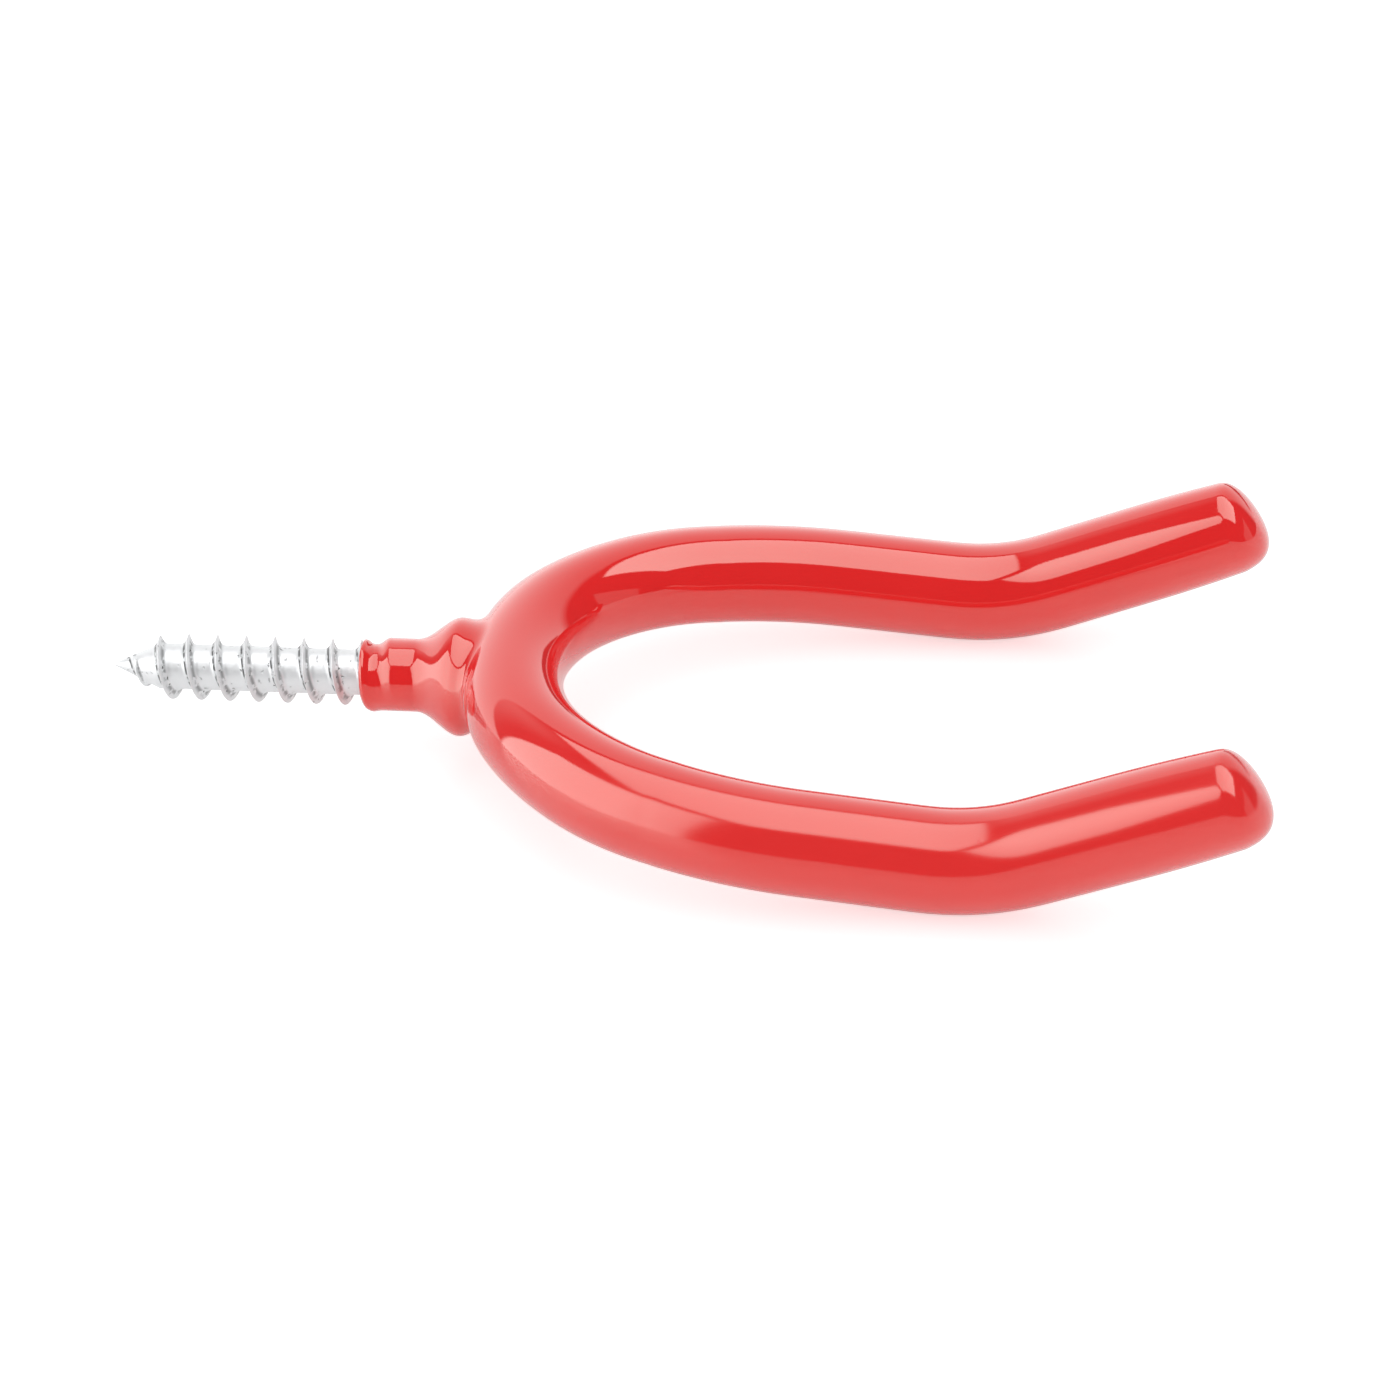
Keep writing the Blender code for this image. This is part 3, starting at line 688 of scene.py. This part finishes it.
# Floor. A wide pale table top under the lowest point of the arms. It shows white, and keeps
# the hook's soft shadow.
FLOOR_HALF = 3.0
FLOOR_GAP = 0.03 * MM
SHEET = (0.72, 0.72, 0.72)
SHEET_GLOW = 0.22
SHEET_GLOW_SEEN = 0.6
floor_height = cad_box[0][2] - FLOOR_GAP
mesh = bpy.data.meshes.new("floor")
corners = np.array([(-1, -1, 0), (1, -1, 0), (1, 1, 0), (-1, 1, 0)]) * FLOOR_HALF
mesh.from_pydata(corners + (0.0, 0.0, floor_height), [], [(0, 1, 2, 3)])
floor = bpy.data.objects.new("floor", mesh)
bpy.context.scene.collection.objects.link(floor)
sheet, tree, shader = new_material("white_sheet", SHEET, roughness=0.3)
shader.inputs["Emission Color"].default_value = (1.0, 1.0, 1.0, 1.0)
rays = tree.nodes.new("ShaderNodeLightPath")
tree.links.new(between(tree, rays.outputs["Is Camera Ray"], SHEET_GLOW, SHEET_GLOW_SEEN),
               shader.inputs["Emission Strength"])
mesh.materials.append(sheet)


# Studio. A white tent gives an even light. In reflections the hook sees a large soft box
# overhead, another at the left, white paper behind with a dark gap under it, a grey card at the
# right and the dark room round the camera. Corners are azimuths and elevations in degrees.
OVERHEAD_BOX = ((125.0, 53.8), (-144.5, 62.7), (-103.1, 54.7), (-24.6, 37.1), (24.9, 43.7))
LEFT_BOX = ((172.0, -12.0), (176.6, 49.6), (-111.1, 53.1), (-114.0, 29.0), (-119.0, -12.0))
RIGHT_CARD = ((20.0, 24.0), (-16.0, 12.0), (-18.0, -7.0), (8.0, -10.0))
OVERHEAD_LEVEL = 2.6
OVERHEAD_LEAN = 0.8
LEFT_LEVEL = 3.1
LEFT_DIM_EDGE = 3
LEFT_DIM_SHARE = 0.72
LEFT_DIM_WIDTH = 0.35
CARD_LEVEL = 0.45
PAPER_LEVEL = 0.72
PAPER_GLOW = 0.5
PAPER_LEFT_GLOW = 0.45
PAPER_EDGE = (0.12, 1.0, -0.65)
PAPER_EDGE_BLUR = 0.06
PAPER_END = (-0.656, 0.755, 0.0)
PAPER_END_FADE = (-0.06, 0.12)
PAPER_GAP = ((86.0, 5.5), (66.0, 7.5), (52.0, 1.5), (50.0, -3.0), (86.0, -3.0))
ROOM_LEVEL = 0.06
CEILING_LEVEL = 0.18
CEILING_GLOW = 0.75
CEILING_FADE_BACK = (0.15, 0.5)
CEILING_FADE_LEFT = (0.2, 0.6)
EDGE_BLUR = 0.04


def sky_direction(azimuth, elevation):
    """Unit vector at an azimuth, from +X towards +Y, and an elevation, both in degrees."""
    turn = math.radians(azimuth)
    climb = math.radians(elevation)
    return Vector((math.cos(climb) * math.cos(turn), math.cos(climb) * math.sin(turn),
                   math.sin(climb)))


def smooth_edge(tree, distance, blur):
    """0 outside an edge and 1 inside it, smooth over the blur's width."""
    edge = add_node(tree, "ShaderNodeMapRange", interpolation_type='SMOOTHSTEP',
                    **{"From Min": -blur / 2, "From Max": blur / 2})
    tree.links.new(distance, edge.inputs["Value"])
    return edge.outputs["Result"]


def towards(tree, sight, direction):
    """Part of a sight line along a direction."""
    dot = add_node(tree, "ShaderNodeVectorMath", operation='DOT_PRODUCT')
    tree.links.new(sight, dot.inputs[0])
    dot.inputs[1].default_value = direction
    return dot.outputs["Value"]


def edge_distance(tree, sight, first, second, middle):
    """Sine of a sight line's angle from the plane through two corners, positive at the middle."""
    normal = first.cross(second).normalized()
    return towards(tree, sight, normal if normal.dot(middle) > 0.0 else -normal)


def box_mask(tree, sight, corners):
    """Mask of a box whose corners are given by azimuth and elevation, with its edges' distances."""
    corners = [sky_direction(*corner) for corner in corners]
    middle = sum(corners, Vector())
    edges = [edge_distance(tree, sight, *pair, middle)
             for pair in zip(corners, corners[1:] + corners[:1])]
    nearest = edges[0]
    for edge in edges[1:]:
        nearest = combined(tree, 'MINIMUM', nearest, edge)
    return smooth_edge(tree, nearest, EDGE_BLUR), edges


def ramp(tree, value, start, end, first, last):
    """A number that runs smoothly from first to last while the value runs from start to end."""
    span = add_node(tree, "ShaderNodeMapRange", interpolation_type='SMOOTHSTEP',
                    **{"From Min": start, "From Max": end, "To Min": first, "To Max": last})
    tree.links.new(value, span.inputs["Value"])
    return span.outputs["Result"]


world = bpy.data.worlds.new("studio")
bpy.context.scene.world = world
world.use_nodes = True
tree = world.node_tree
rays = tree.nodes.new("ShaderNodeLightPath")
sight = tree.nodes.new("ShaderNodeTexCoord").outputs["Generated"]

overhead = combined(tree, 'ADD', OVERHEAD_LEVEL, towards(tree, sight, (OVERHEAD_LEAN, 0.0, 0.0)))
overhead = combined(tree, 'MULTIPLY', box_mask(tree, sight, OVERHEAD_BOX)[0], overhead)

# The left box is dimmer near the edge between its fourth corner and its last.
left, left_edges = box_mask(tree, sight, LEFT_BOX)
from_edge = ramp(tree, left_edges[LEFT_DIM_EDGE], 0.0, LEFT_DIM_WIDTH,
                 LEFT_DIM_SHARE * LEFT_LEVEL, LEFT_LEVEL)
left = combined(tree, 'MULTIPLY', left, from_edge)
card = combined(tree, 'MULTIPLY', box_mask(tree, sight, RIGHT_CARD)[0], CARD_LEVEL)

# The paper glows more to the left and lower down. It ends at its top edge and its right-hand
# end, and the gap is cut out of it.
glow = combined(tree, 'ADD', PAPER_LEVEL + PAPER_GLOW,
                towards(tree, sight, (-PAPER_LEFT_GLOW, 0.0, -PAPER_GLOW)))
paper = combined(tree, 'MULTIPLY', glow,
                 smooth_edge(tree, towards(tree, sight, PAPER_EDGE), PAPER_EDGE_BLUR))
paper = combined(tree, 'MULTIPLY', paper,
                 ramp(tree, towards(tree, sight, PAPER_END), *PAPER_END_FADE, 0.0, 1.0))
paper = combined(tree, 'MULTIPLY', paper,
                 combined(tree, 'SUBTRACT', 1.0, box_mask(tree, sight, PAPER_GAP)[0]))
ceiling = ramp(tree, towards(tree, sight, (0.0, 1.0, 0.0)), *CEILING_FADE_BACK,
               CEILING_LEVEL, CEILING_GLOW)
ceiling = combined(tree, 'MULTIPLY', ceiling,
                   ramp(tree, towards(tree, sight, (-1.0, 0.0, 0.0)), *CEILING_FADE_LEFT, 0.0, 1.0))

# Glossy rays see the brightest of these, and all other rays see plain white.
reflected = combined(tree, 'MAXIMUM', card, ROOM_LEVEL)
for seen in (overhead, left, paper, ceiling):
    reflected = combined(tree, 'MAXIMUM', reflected, seen)
strength = add_node(tree, "ShaderNodeMapRange", **{"To Min": 1.0})
tree.links.new(rays.outputs["Is Glossy Ray"], strength.inputs["Value"])
tree.links.new(reflected, strength.inputs["To Max"])
tree.links.new(strength.outputs["Result"], tree.nodes["Background"].inputs["Strength"])
tree.nodes["Background"].inputs["Color"].default_value = (1.0, 1.0, 1.0, 1.0)


# Camera. The photograph's view of the hook's side, along +Y, from a little towards the tips' end
# and from 32 degrees above.
CAMERA_AIM = Vector((32.08, 3.15, -3.82)) * MM
CAMERA_DISTANCE = 370.0 * MM
CAMERA_AZIMUTH = math.radians(7.895)
CAMERA_ELEVATION = math.radians(32.03)
CAMERA_ROLL = math.radians(-2.249)
CAMERA_FIELD = math.radians(20.748)
CAMERA_SENSOR = 36.0
CAMERA_NEAR = 0.01
CAMERA_FAR = 20.0
camera = bpy.data.objects.new("camera", bpy.data.cameras.new("camera"))
camera.data.sensor_width = CAMERA_SENSOR
camera.data.angle = CAMERA_FIELD
camera.data.clip_start = CAMERA_NEAR
camera.data.clip_end = CAMERA_FAR
turned = (Matrix.Rotation(CAMERA_AZIMUTH, 4, 'Z')
          @ Matrix.Rotation(math.pi / 2 - CAMERA_ELEVATION, 4, 'X')
          @ Matrix.Rotation(CAMERA_ROLL, 4, 'Z'))
camera.matrix_world = (Matrix.Translation(CAMERA_AIM) @ turned
                       @ Matrix.Translation((0.0, 0.0, CAMERA_DISTANCE)))
bpy.context.scene.collection.objects.link(camera)
bpy.context.scene.camera = camera
bpy.context.scene.view_settings.view_transform = 'Standard'
